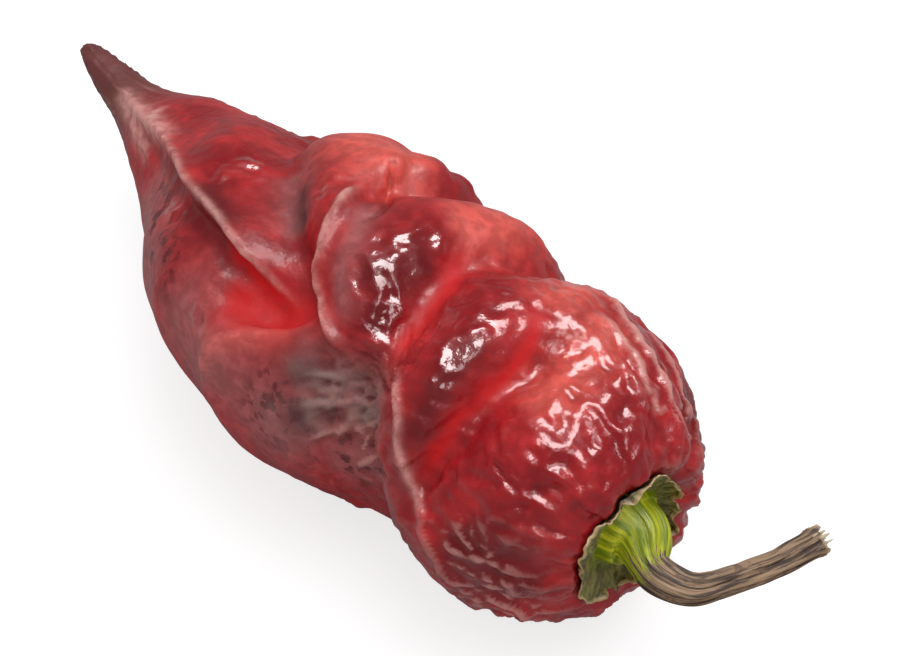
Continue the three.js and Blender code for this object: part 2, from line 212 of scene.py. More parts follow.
# Where the skin is crumpled into small sharp bumps.
CRUMPLED = [
    {"path": [(24.6, 32), (25, 14), (24, 0), (22, -12)], "width": 2.6},
    {"path": [(20, 42), (21.6, 22), (21.5, 0)], "width": 2.2},
    {"path": [(14.6, 0), (14.2, 20), (13.8, 44)], "width": 1.9},
    {"path": [(43, 26), (43.2, -4)], "width": 2.2},
    {"path": [(48, 50), (43.8, 42)], "width": 1.1},
    {"path": [(38, 62), (33, 66)], "width": 1.2},
    {"path": [(33, 4), (35, -8)], "width": 1.4},
    {"path": [(12, 90), (16, 110)], "width": 4.0},
    {"path": [(20, -70), (34, -100)], "width": 5.0},
    {"path": [(44, -80), (54, -70)], "width": 3.0},
]

# The patches that only colour the skin, by the name that its material knows them by.
PATCHES = {"lit_tops": LIT_TOPS, "deep": DARK_SKIN_AND_SHADE, "mauve_sheen": MAUVE_SHEEN, "dry": DRY, "bloom": BLOOM, "pale": PALE_SKIN_AND_HIGHLIGHT}

# ---- Patterns of small detail ---------


class Pattern:
    """Noise that lifts a surface. Its size may differ by axis, and its sink is taken off the lift."""

    def __init__(self, size, lift, seed, sink=0.0):
        self.size = size
        self.lift = lift
        self.seed = seed
        self.sink = sink


# On the pod. Where there are three sizes, they run along it and twice round it.
LUMPS = Pattern(size=1.3, lift=0.36, seed=3)
GRAIN = Pattern(size=0.65, lift=0.06, seed=7)
CREASES = Pattern(size=1.8, lift=0.2, seed=23, sink=0.07)
CRINKLES = Pattern(size=(3.4, 1.7, 1.7), lift=0.28, seed=31, sink=0.12)
FINE_CRINKLES = Pattern(size=(1.6, 0.9, 0.9), lift=0.1, seed=37)
TAIL_RIDGES = Pattern(size=(9, 3.2, 3.2), lift=0.18, seed=41, sink=0.08)
LOW_WRINKLES = Pattern(size=(1.5, 3.2, 3.2), lift=0.12, seed=53, sink=0.04)
FAR_FOLDS = Pattern(size=(2.4, 4.2, 4.2), lift=0.24, seed=59, sink=0.08)
WAIST_RAYS = Pattern(size=1.3, lift=0.32, seed=67, sink=0.06)
WAIST_GRAIN = Pattern(size=0.6, lift=0.16, seed=69)
UNEVENNESS = Pattern(size=1.6, lift=0.45, seed=11)

# On the stem, where places along it are divided by FIBRE_STRETCH.
RIBS = Pattern(size=(1, 0.42, 0.42), lift=0.14, seed=5, sink=0.12)
FIBRES = Pattern(size=(1.2, 0.3, 0.3), lift=0.1, seed=9)
KNOTS = Pattern(size=(0.35, 0.9, 0.9), lift=0.1, seed=15)
TEAR = Pattern(size=0.7, lift=0.7, seed=61, sink=0.4)

# The teeth of the calyx's edge, on a circle of radius 1.
TEETH = Pattern(size=0.17, lift=0.45, seed=71)
FINE_TEETH = Pattern(size=0.07, lift=0.27, seed=73)

# Ridges come from noise folded at 0. The higher this is, the thinner they are.
CREST_THINNESS = 2.2

# Where each kind of detail on the pod fades in or out, as two distances from the shoulder, unless a
# note says otherwise.
BASE_HALF = (14, 28)
CRINKLED_BASE = (6, 11.5)
TAIL = (59, 66)
PAST_SHOULDER = (3, 12)
FAR_SIDE = (60, 100)  # turns in degrees, away from -Y
FAR_FOLDED_SIDE = (25, 60)  # turns in degrees, away from -Y
LOW_SIDE = (3, 9)  # heights
TABLE_CONTACT = (0.02, 1.6)  # heights
CREST_SHARPNESS = (0.03, 0.09)  # how far a crest stands over its smooth copy

# How strongly the skin is crumpled outside the crumpled patches.
BASE_CRUMPLING = 0.68
LOBE_CRUMPLING = 0.1
FAR_SIDE_CRUMPLING = 0.3
VALLEY_SMOOTHNESS = 0.85
VALLEY_CRINKLE_LOSS = 0.7

# The pinch of the waist, where its wrinkles meet: along and turn.
PINCH = (16.4, 49.5)
WAIST_REACH = (4, 10)  # distances from the pinch
WAIST_HEART = (0.3, 2)  # also distances, because the very middle stays plain
WAIST_EDGE = (-2.5, 1)  # along, from the pinch
RAYS_ROUND = 9  # how closely the rays stand round the pinch
RAYS_LENGTH = 4  # how long they are before their pattern changes

# ---- Mesh helpers ---------------------


def points_of(mesh):
    """The mesh's vertices in millimetres."""
    flat = np.empty(3 * len(mesh.vertices))
    mesh.vertices.foreach_get("co", flat)
    return flat.reshape(-1, 3) / MM


def set_points(mesh, points):
    mesh.vertices.foreach_set("co", (points * MM).ravel())
    mesh.update()


def normals_of(mesh):
    flat = np.empty(3 * len(mesh.vertices), np.float32)
    mesh.vertex_normals.foreach_get("vector", flat)
    return flat.reshape(-1, 3).astype(float)


def set_attribute(mesh, name, values):
    attribute = mesh.attributes.new(name, "FLOAT", "POINT")
    attribute.data.foreach_set("value", np.asarray(values, np.float32))


def new_object(name, points, faces):
    mesh = bpy.data.meshes.new(name)
    mesh.from_pydata((np.asarray(points) * MM).tolist(), [], faces)
    mesh.polygons.foreach_set("use_smooth", [True] * len(mesh.polygons))
    made = bpy.data.objects.new(name, mesh)
    bpy.context.scene.collection.objects.link(made)
    return made


def smoothed(points, mesh, passes):
    """The points after each has moved halfway to the middle of its neighbours, so many times."""
    edges = np.empty(2 * len(mesh.edges), np.int32)
    mesh.edges.foreach_get("vertices", edges)
    first, second = edges.reshape(-1, 2).T
    count = np.bincount(edges, minlength=len(points))[:, None]
    for _ in range(passes):
        total = np.zeros_like(points)
        for axis in range(3):
            total[:, axis] += np.bincount(first, points[second, axis], len(points))
            total[:, axis] += np.bincount(second, points[first, axis], len(points))
        points = 0.5 * (points + total / count)
    return points


def ease(value, low, high):
    """0 below low, 1 above high, and smooth between."""
    share = np.clip((value - low) / (high - low), 0, 1)
    return share * share * (3 - 2 * share)


def noise_at(points, size, seed=0.0):
    """Smooth noise from -1 to 1 at each point, with lumps of this size. Size may differ by axis."""
    places = points / np.asarray(size) + seed
    return np.array([noise.noise(place) for place in places.tolist()])


def ridged_at(points, size, seed=0.0):
    """Noise from 0 to 1 with sharp crests."""
    return 1 - np.minimum(1, CREST_THINNESS * np.abs(noise_at(points, size, seed)))


def bumps(points, pattern):
    """The lift of a pattern's rounded bumps at each point."""
    return pattern.lift * noise_at(points, pattern.size, pattern.seed) - pattern.sink


def ridges(points, pattern):
    """The lift of a pattern's sharp ridges at each point."""
    return pattern.lift * ridged_at(points, pattern.size, pattern.seed) - pattern.sink


def wandering(points, size, reach, seed):
    """The points moved about by noise, so that a pattern laid on them loses its straight lines."""
    moves = [noise_at(points, size, seed + 100 * axis) for axis in range(3)]
    return points + reach * np.column_stack(moves)


def unit(vector):
    return vector / np.linalg.norm(vector)


def waves(angle, terms):
    """The sum of waves round a circle, each with a count, a height and a turn in radians."""
    return sum(height * np.cos(count * angle + turn) for count, height, turn in terms)


def spline(knots, count):
    """Evenly spaced points on a smooth curve through the knots, and how far along it each is."""
    knots = np.array(knots, float)
    ends = np.vstack([2 * knots[0] - knots[1], knots, 2 * knots[-1] - knots[-2]])
    dense = []
    for i in range(len(knots) - 1):
        a, b, c, d = ends[i : i + 4]
        t = np.linspace(0, 1, SPLINE_STEPS, endpoint=i == len(knots) - 2)[:, None]
        bend = (2 * a - 5 * b + 4 * c - d) * t**2 + (3 * b - a - 3 * c + d) * t**3
        dense.append(0.5 * (2 * b + (c - a) * t + bend))
    dense = np.vstack(dense)
    steps = np.linalg.norm(np.diff(dense, axis=0), axis=1)
    reach = np.concatenate([[0], np.cumsum(steps)])
    even = np.linspace(0, reach[-1], count)
    return np.column_stack([np.interp(even, reach, dense[:, k]) for k in range(3)]), even


# ---- The pod --------------------------

# A stroke fades sideways over its width, and at its two ends over this share of its length.
END_FADE = (-0.02, 0.2)
STROKE_MARGIN = 2.5  # widths beyond which a stroke has no effect


def dense_copy(node, name, voxel):
    """A copy of a CAD node as an even, fine mesh."""
    copy = bpy.data.objects.new(name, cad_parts[node].data.copy())
    bpy.context.scene.collection.objects.link(copy)
    weld = copy.modifiers.new("weld", "WELD")
    weld.merge_threshold = WELD_DISTANCE * MM
    remesh = copy.modifiers.new("remesh", "REMESH")
    remesh.mode = "VOXEL"
    remesh.voxel_size = voxel * MM
    remesh.use_smooth_shade = True
    depsgraph = bpy.context.evaluated_depsgraph_get()
    copy.data = bpy.data.meshes.new_from_object(copy.evaluated_get(depsgraph))
    copy.modifiers.clear()
    return copy


class Skin:
    """The pod's surface: its points, with the place of each along and round the pod."""

    def __init__(self, mesh):
        self.points = smoothed(points_of(mesh), mesh, SMOOTHING_PASSES)
        set_points(mesh, self.points)
        self.normals = normals_of(mesh)
        self.along = SHOULDER - self.points[:, 0]
        side = self.points[:, 1] - np.interp(self.along, AXIS[:, 0], AXIS[:, 1])
        height = self.points[:, 2] - np.interp(self.along, AXIS[:, 0], AXIS[:, 2])
        self.turn = np.arctan2(-side, height)
        self.radius = np.hypot(side, height)
        self.bulge = self.over(smoothed(self.points, mesh, BULGE_PASSES), self.points)
        # Places from which a pattern can be stretched along the pod or round it.
        rounded = [np.cos(self.turn), np.sin(self.turn)]
        self.unrolled = np.column_stack([self.along] + [TYPICAL_RADIUS * part for part in rounded])

    def over(self, lower, upper):
        """How far one set of points stands over another, square to the skin."""
        return np.einsum("ij,ij->i", upper - lower, self.normals)

    def away(self, angles):
        """1 on the side turned away from -Y, fading to 0 between two turns in degrees."""
        return ease(-np.degrees(self.turn), *angles)

    def trace(self, path):
        """Points on the skin along a path of (along, turn) points, closely spaced."""
        knots = np.array(path, float)
        spans = np.hypot(np.diff(knots[:, 0]), MM_PER_DEGREE * np.diff(knots[:, 1]))
        reach = np.concatenate([[0], np.cumsum(spans)])
        places = np.linspace(0, reach[-1], max(4, int(reach[-1])))
        alongs = np.interp(places, reach, knots[:, 0])
        turns = np.radians(np.interp(places, reach, knots[:, 1]))
        found = []
        for along, turn in zip(alongs, turns):
            around = np.angle(np.exp(1j * (self.turn - turn))) * self.radius
            found.append(np.argmin((self.along - along) ** 2 + around**2))
        line, _ = spline(self.points[found], int(reach[-1] / TRACE_STEP))
        return line

    def near(self, path, width):
        """How close each point is to a path: 1 on it, fading to 0 sideways and at its two ends."""
        line = self.trace(path)
        tree = kdtree.KDTree(len(line))
        for i, point in enumerate(line):
            tree.insert(point, i)
        tree.balance()
        margin = STROKE_MARGIN * width
        low, high = line.min(0) - margin, line.max(0) + margin
        inside = np.flatnonzero(np.all((self.points > low) & (self.points < high), axis=1))
        found = np.array([tree.find(point)[1:] for point in self.points[inside].tolist()])
        place = found[:, 0] / (len(line) - 1)
        fade = ease(place, *END_FADE) * ease(1 - place, *END_FADE)
        closeness = np.zeros(len(self.points))
        closeness[inside] = fade * np.exp(-((found[:, 1] / width) ** 2))
        return closeness

    def painted(self, patches):
        """The strongest of several patches at each point."""
        tone = np.zeros(len(self.points))
        for patch in patches:
            tone = np.maximum(tone, self.near(patch["path"], patch["width"]))
        return tone


def stroke_lift(skin):
    """The thin ridges and grooves, each a little uneven along its way."""
    lift = np.zeros(len(skin.points))
    unevenness = 1 + bumps(skin.points, UNEVENNESS)
    for stroke in STROKES:
        lift += stroke["lift"] * skin.near(stroke["path"], stroke["width"]) * unevenness
    return lift


def crumple_strength(skin, valleys):
    """1 where the skin is crumpled, less on the rest of the base half, and little on the lobes."""
    along = ease(skin.along, *BASE_HALF)
    everywhere = BASE_CRUMPLING + (LOBE_CRUMPLING - BASE_CRUMPLING) * along
    everywhere += FAR_SIDE_CRUMPLING * skin.away(FAR_SIDE)
    return np.maximum(skin.painted(CRUMPLED), everywhere) * (1 - VALLEY_SMOOTHNESS * valleys)


def crumple_lift(skin, strength):
    places = wandering(skin.points, 2.2, 0.8, seed=3)
    small = bumps(places, LUMPS) + bumps(skin.points, GRAIN)
    return strength * (small + ridges(places, CREASES))


def base_lift(skin, valleys):
    """Crinkles that run out over the base from the calyx."""
    near_base = 1 - ease(skin.along, *CRINKLED_BASE)
    places = wandering(skin.unrolled, 2.5, 1.3, seed=29)
    crinkles = ridges(places, CRINKLES) + bumps(places, FINE_CRINKLES)
    return near_base * (1 - VALLEY_CRINKLE_LOSS * valleys) * crinkles


def tail_lift(skin):
    """Long dry ridges on the tail."""
    return ease(skin.along, *TAIL) * ridges(skin.unrolled, TAIL_RIDGES)


def wrinkle_lift(skin):
    """Shallow wrinkles round the lower, drier parts of the pod and all over its far side."""
    low = (1 - ease(skin.points[:, 2], *LOW_SIDE)) * ease(skin.along, *PAST_SHOULDER)
    places = wandering(skin.unrolled, 4, 1.6, seed=57)
    folds = skin.away(FAR_FOLDED_SIDE) * ridges(places, FAR_FOLDS)
    return low * ridges(skin.unrolled, LOW_WRINKLES) + folds


def waist_lift(skin):
    """Tight, dry wrinkles that run together in the pinch of the waist."""
    along, turn = PINCH
    pinch = skin.trace([PINCH, (along + 1, turn)])[0]
    away = skin.points - pinch
    distance = np.linalg.norm(away, axis=1)
    heading = away / np.maximum(distance, 0.1)[:, None]
    nearby = (1 - ease(distance, *WAIST_REACH)) * ease(skin.along - along, *WAIST_EDGE)
    places = RAYS_ROUND * heading + (distance / RAYS_LENGTH)[:, None]
    places = wandering(places, 2.5, 0.5, seed=61)
    rays = ridges(places, WAIST_RAYS) + bumps(places, WAIST_GRAIN)
    return nearby * rays * ease(distance, *WAIST_HEART)


def from_seat(points):
    """Each point's distance from the stem's axis, on the base; far away elsewhere."""
    off = np.hypot(points[:, 1] - SEAT[1], points[:, 2] - SEAT[2])
    return np.where(points[:, 0] > SEAT[0] - SEAT_DEPTH, off, np.inf)


def pod_lift(skin, valleys, crumpled):
    """How far the skin's detail lifts it, with nothing at the table or over the seat."""
    lift = stroke_lift(skin) + crumple_lift(skin, crumpled) + base_lift(skin, valleys)
    lift += tail_lift(skin) + wrinkle_lift(skin) + waist_lift(skin)
    lift *= ease(skin.points[:, 2], *TABLE_CONTACT)
    return np.where(from_seat(skin.points) < SEAT_CLEARANCE, np.minimum(lift, 0), lift)


def make_pod():
    pod = dense_copy("pod", "pod_skin", POD_VOXEL)
    skin = Skin(pod.data)
    valley_glow = skin.painted(VALLEY_GLOW)
    crumpled = crumple_strength(skin, valley_glow)
    lift = pod_lift(skin, valley_glow, crumpled)
    moved = skin.points + lift[:, None] * skin.normals
    moved[:, 2] = np.maximum(moved[:, 2], 0)
    set_points(pod.data, moved)
    sharpness = skin.over(smoothed(moved, pod.data, CREST_PASSES), moved)
    crests = skin.painted(CREST_HIGHLIGHTS) * ease(sharpness, *CREST_SHARPNESS)
    measured = {"valley_glow": valley_glow, "crumpled": crumpled, "crests": crests}
    measured |= {"bulge": skin.bulge, "relief": lift, "along": skin.along}
    for name, values in measured.items():
        set_attribute(pod.data, name, values)
    for name, patches in PATCHES.items():
        set_attribute(pod.data, name, skin.painted(patches))
    pod.data.materials.clear()
    pod.data.materials.append(skin_material())
    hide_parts("pod")
    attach(pod, "root")
    return moved


# ---- The stem -------------------------

# The stem's line from the seat: out along +X, aside along +Y, and down.
STEM_LINE = [
    (0.1, 0, 0),
    (1.6, 0, 0),
    (3.0, 0, 0.05),
    (5.4, -1.0, 0.6),
    (8.1, 0.1, 1.1),
    (9.2, 2.8, 1.45),
    (10.2, 7.4, 2.05),
    (10.6, 12.0, 2.4),
]
FOOT_RADIUS = 3.9
FOOT_LENGTH = 5.2
FOOT_CURVE = 1.15  # above 1, the foot's outline is hollow
NECK_RADIUS = 1.55
NECK_LENGTH = 6
STEM_RADIUS = 1.12
STEM_RINGS = 300
STEM_SIDES = 120
STEM_RIBS = [(7, 0.07, 0.3)]  # a wave round it: how many, how high, and its turn in radians
FIBRE_STRETCH = 6  # the higher, the longer the fibres
FIBRE_CIRCLE = 1.3  # the higher, the finer the fibres
END_FLARE = 0.12
END_FLARE_LENGTH = 1.5
TEAR_LENGTH = 1.2
TEAR_CIRCLE = 2  # the higher, the finer the tear
TORN_HOLLOW = 0.9  # depth of the broken end's middle
SPLINTERS = 22
SPLINTER_TURN = 2.4  # radians from one splinter to the next
SPLINTER_SPREAD = 0.85
SPLINTER_ROOT = 1.1  # depth at which they start
SPLINTER_LEAN = 0.22
SPLINTER_LENGTH = (1.3, 0.35)  # usual, and how much it varies
SPLINTER_RADIUS = (0.2, 0.06)
SPLINTER_SIDES = 6
SLANTED = (0.3, 0.5, 0.8)  # a direction that no splinter takes
SPLINTER_TAPER = [(0, 1), (0.5, 0.8), (0.85, 0.4)]  # share of the length and of the radius


def sweep_frames(line):
    """Two directions square to the line at each of its points, turning as little as possible."""
    tangents = np.gradient(line, axis=0)
    tangents /= np.linalg.norm(tangents, axis=1)[:, None]
    across = np.array([0.0, 0.0, 1.0])
    firsts = []
    for tangent in tangents:
        across = across - tangent * (across @ tangent)
        across /= np.linalg.norm(across)
        firsts.append(across)
    firsts = np.array(firsts)
    return firsts, np.cross(firsts, tangents)


def stem_radius(reach, angle, length):
    """The stem's radius: a ribbed foot, a neck, and a fibrous stalk with grooves along it."""
    foot = np.clip(1 - reach / FOOT_LENGTH, 0, 1) ** FOOT_CURVE
    neck = 1 - ease(reach, FOOT_LENGTH, FOOT_LENGTH + NECK_LENGTH)
    radius = STEM_RADIUS + (NECK_RADIUS - STEM_RADIUS) * neck + (FOOT_RADIUS - NECK_RADIUS) * foot
    rounded = [FIBRE_CIRCLE * np.cos(angle), FIBRE_CIRCLE * np.sin(angle)]
    around = np.column_stack([reach / FIBRE_STRETCH] + rounded)
    radius += bumps(around, RIBS) + waves(angle, STEM_RIBS)
    radius += ridges(around, FIBRES) + bumps(around, KNOTS)
    return radius + END_FLARE * ease(reach, length - END_FLARE_LENGTH, length)


def grid_faces(rings, sides):
    """Quads between rings of points that close on themselves."""
    faces = []
    for low in range(0, (rings - 1) * sides, sides):
        high = low + sides
        for side in range(sides):
            following = (side + 1) % sides
            faces.append((low + side, low + following, high + following, high + side))
    return faces


class StemMesh:
    """The stem's mesh as it grows, with what its material needs to know at each point."""

    def __init__(self):
        self.points = []
        self.faces = []
        self.reach = []
        self.turn = []
        self.torn = []

    def add(self, points, faces, reach, turn, torn):
        first = len(self.points)
        self.faces += [tuple(first + i for i in face) for face in faces]
        self.points += np.asarray(points).tolist()
        self.reach += reach
        self.turn += turn
        self.torn += torn


def add_stalk(grown, line, reach, first, second):
    """The foot, the neck and the stalk as one tube, closed at both ends."""
    length = reach[-1]
    heading = unit(line[-1] - line[-2])
    angles = np.linspace(0, 2 * math.pi, STEM_SIDES, endpoint=False)
    reach = np.repeat(reach, STEM_SIDES)
    angle = np.tile(angles, STEM_RINGS)
    out = np.repeat(first, STEM_SIDES, 0) * np.cos(angle)[:, None]
    out += np.repeat(second, STEM_SIDES, 0) * np.sin(angle)[:, None]
    points = np.repeat(line, STEM_SIDES, 0) + out * stem_radius(reach, angle, length)[:, None]
    # The broken end is torn to a different length all the way round.
    tear = ease(reach, length - TEAR_LENGTH, length)
    rounded = [TEAR_CIRCLE * np.cos(angle), TEAR_CIRCLE * np.sin(angle)]
    ragged = bumps(np.column_stack(rounded + [tear]), TEAR)
    points += (tear * ragged)[:, None] * heading
    middles = [line[-1] - TORN_HOLLOW * heading, line[0]]
    end_middle = len(points)
    start_middle = end_middle + 1
    faces = grid_faces(STEM_RINGS, STEM_SIDES)
    last = end_middle - STEM_SIDES
    for side in range(STEM_SIDES):
        following = (side + 1) % STEM_SIDES
        faces.append((last + side, last + following, end_middle))
        faces.append((following, side, start_middle))
    reaches = reach.tolist() + [length, 0.0]
    turns = angle.tolist() + [0.0, 0.0]
    torn = [0.0] * end_middle + [1.0, 0.0]
    grown.add(np.vstack([points, middles]), faces, reaches, turns, torn)


def splinter(root, direction, length, radius):
    """One thin spike of torn fibre: its points and faces."""
    direction = unit(direction)
    first = unit(np.cross(direction, SLANTED))
    second = np.cross(direction, first)
    points = []
    for share, width in SPLINTER_TAPER:
        for k in range(SPLINTER_SIDES):
            angle = 2 * math.pi * k / SPLINTER_SIDES
            out = first * math.cos(angle) + second * math.sin(angle)
            points.append(root + direction * length * share + out * radius * width)
    tip = len(points)
    points.append(root + direction * length)
    faces = grid_faces(len(SPLINTER_TAPER), SPLINTER_SIDES)
    last = tip - SPLINTER_SIDES
    faces += [(last + s, last + (s + 1) % SPLINTER_SIDES, tip) for s in range(SPLINTER_SIDES)]
    faces.append(tuple(reversed(range(SPLINTER_SIDES))))
    return points, faces


def add_splinters(grown, line, length, first, second):
    """Spikes of pale fibre that fill the broken end."""
    heading = unit(line[-1] - line[-2])
    for k in range(SPLINTERS):
        angle = SPLINTER_TURN * k
        off = SPLINTER_SPREAD * math.sqrt((k + 0.5) / SPLINTERS)
        side = first[-1] * math.cos(angle) + second[-1] * math.sin(angle)
        root = line[-1] + side * off - SPLINTER_ROOT * heading
        lean = heading + SPLINTER_LEAN * side * off
        spike_length = SPLINTER_LENGTH[0] + SPLINTER_LENGTH[1] * math.sin(5 * k)
        radius = SPLINTER_RADIUS[0] + SPLINTER_RADIUS[1] * math.cos(3 * k)
        points, faces = splinter(root, lean, spike_length, radius)
        count = len(points)
        grown.add(points, faces, [length] * count, [angle] * count, [1.0] * count)


def make_stem():
    knots = [(out, aside, -down) for out, aside, down in STEM_LINE]
    line, reach = spline(knots, STEM_RINGS)
    line = line + SEAT
    first, second = sweep_frames(line)
    length = reach[-1]
    grown = StemMesh()
    add_stalk(grown, line, reach, first, second)
    add_splinters(grown, line, length, first, second)
    stem = new_object("stem_stalk", grown.points, grown.faces)
    set_attribute(stem.data, "reach", grown.reach)
    set_attribute(stem.data, "turn", grown.turn)
    set_attribute(stem.data, "torn", grown.torn)
    stem.data.materials.append(stem_material(length))
    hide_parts("stem")
    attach(stem, "root")


# ---- The calyx ------------------------

CALYX_SIDES = 360
CALYX_STEPS = 26  # from the foot to the edge
CALYX_WALL = 0.32
CALYX_THINNING = 0.55  # how much thinner the wall is at the edge
CALYX_GAP = 0.15  # over the pod's skin
CALYX_HOLE = 2.6  # the radius at which it starts, inside the foot
CALYX_RADIUS = 5.9
CALYX_BASE = 1.0  # over the seat
CALYX_FILLET = 1.3  # how far it climbs the foot
CALYX_FILLET_FADE = (-0.3, 0.32)  # shares of the way to the edge
CALYX_CURL = 0.5
CALYX_CURL_FADE = (0.8, 1)
CALYX_RISE = 1.75  # how far the edge stands away from the pod
CALYX_RISE_CURVE = 2.3
CALYX_VEINS = 22
CALYX_VEIN_HEIGHT = 0.08
SEARCH_RADIUS = 12  # round the seat

# Waves round the calyx: how many, their height in millimetres, and their turn in radians. The first
# of the edge's makes it widest low down, towards -Y.
CALYX_EDGE = [(1, 1.4, -1.05), (6, 0.25, 0.4), (4, 0.175, 1.9)]
CALYX_FRILL = [
    (6, 0.375, 1.1 - QUARTER_TURN),
    (11, 0.2625, -QUARTER_TURN),
    (17, 0.15, 2),
]
CALYX_CURL_WAVES = [(5, 0.25, -QUARTER_TURN)]


def calyx_edge(angle):
    """How far the calyx reaches at each angle: uneven lobes with small teeth."""
    places = np.column_stack([np.cos(angle), np.sin(angle), np.zeros_like(angle)])
    teeth = bumps(places, TEETH) + bumps(places, FINE_TEETH)
    return CALYX_RADIUS + waves(angle, CALYX_EDGE) + teeth


def calyx_surface(share, angle):
    """From the foot out to the frilled edge, where the calyx stands away from the pod and curls."""
    curl = ease(share, *CALYX_CURL_FADE) * (CALYX_CURL + waves(angle, CALYX_CURL_WAVES))
    radius = CALYX_HOLE + (calyx_edge(angle) - CALYX_HOLE) * share - curl
    fillet = CALYX_FILLET * (1 - ease(share, *CALYX_FILLET_FADE))
    frill = waves(angle, CALYX_FRILL) * share**2
    rise = CALYX_BASE + fillet + CALYX_RISE * share**CALYX_RISE_CURVE + frill
    winding = CALYX_VEINS * angle + 2 * np.sin(3 * angle)
    veins = CALYX_VEIN_HEIGHT * np.cos(winding) * (1 - 0.4 * share)
    aside, up = -radius * np.sin(angle), radius * np.cos(angle)
    return SEAT + np.column_stack([rise + veins, aside, up])


def skin_height(pod_points, points):
    """How far the pod's skin reaches along X in front of each point."""
    base = pod_points[from_seat(pod_points) < SEARCH_RADIUS]
    tree = kdtree.KDTree(len(base))
    for i, (_, side, height) in enumerate(base):
        tree.insert((0, side, height), i)
    tree.balance()
    heights = []
    for _, side, height in points:
        heights.append(max(base[i, 0] for _, i, _ in tree.find_n((0, side, height), 3)))
    return np.array(heights)


def make_calyx(pod_points):
    angles = np.linspace(0, 2 * math.pi, CALYX_SIDES, endpoint=False)
    shares = np.linspace(0, 1, CALYX_STEPS)
    front = []
    back = []
    for share in shares:
        ring = calyx_surface(np.full(CALYX_SIDES, share), angles)
        lowest = skin_height(pod_points, ring) + CALYX_GAP + CALYX_WALL
        ring[:, 0] = np.maximum(ring[:, 0], lowest)
        wall = CALYX_WALL * (1 - CALYX_THINNING * share)
        front.append(ring)
        back.append(ring - np.array([wall, 0, 0]))
    rings = front + back[::-1]
    faces = grid_faces(len(rings), CALYX_SIDES)
    last = (len(rings) - 1) * CALYX_SIDES
    for side in range(CALYX_SIDES):
        following = (side + 1) % CALYX_SIDES
        faces.append((last + side, last + following, following, side))
    calyx = new_object("calyx_frill", np.vstack(rings), faces)
    edge = np.repeat(np.concatenate([shares, shares[::-1]]), CALYX_SIDES)
    set_attribute(calyx.data, "edge", edge)
    set_attribute(calyx.data, "turn", np.tile(angles, len(rings)))
    calyx.data.materials.append(calyx_material())
    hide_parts("calyx")
    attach(calyx, "root")


# ---- Materials ------------------------


def colour(red, green, blue):
    """A colour given as on a screen, 0 to 255, in the linear form that Blender uses."""
    linear = []
    for value in (red / 255, green / 255, blue / 255):
        linear.append(((value + 0.055) / 1.055) ** 2.4 if value > 0.04045 else value / 12.92)
    return (*linear, 1)


WHITE = colour(255, 255, 255)

SKIN_DARK = colour(158, 22, 30)
SKIN_RED = colour(198, 34, 38)
SKIN_BULGE = colour(130, 14, 24)
SKIN_LIT_TOP = colour(246, 104, 92)
SKIN_DARK_AND_SHADE = colour(104, 6, 14)
SKIN_MAUVE_SHEEN = colour(174, 112, 112)
SKIN_BLOTCH = colour(86, 22, 28)
SKIN_GROOVE_SHADE = colour(96, 6, 14)
SKIN_SPECK = colour(118, 18, 26)
SKIN_VALLEY_GLOW = colour(212, 20, 24)
BLOOM_SHADE = colour(98, 56, 58)
BLOOM_LIT = colour(146, 122, 116)
SKIN_TAIL = colour(104, 64, 60)
SKIN_PALE_AND_HIGHLIGHT = colour(222, 162, 154)
SKIN_CREST_HIGHLIGHT = colour(222, 160, 152)

FOOT_DARK = colour(120, 140, 6)
FOOT_LIGHT = colour(216, 216, 40)
FOOT_STRAND = colour(140, 156, 14)
BARK_DARK = colour(66, 48, 38)
BARK_LIGHT = colour(172, 140, 110)
BARK_SPOT = colour(72, 46, 42)
TORN_FIBRE = colour(222, 204, 170)
TORN_EDGE = colour(206, 184, 150)

CALYX_DARK = colour(86, 80, 32)
CALYX_OLIVE = colour(140, 134, 64)
CALYX_GREEN = colour(138, 156, 34)
CALYX_BROWN = colour(86, 58, 40)
CALYX_TAN = colour(188, 160, 112)

FLOOR_DARK = colour(172, 172, 173)
FLOOR_LIGHT = colour(176, 176, 176)

# Sockets of Blender's Mix node, which has a set for each kind of value.
NUMBER_A, NUMBER_B, NUMBER_RESULT = 2, 3, 0
COLOUR_A, COLOUR_B, COLOUR_RESULT = 6, 7, 2


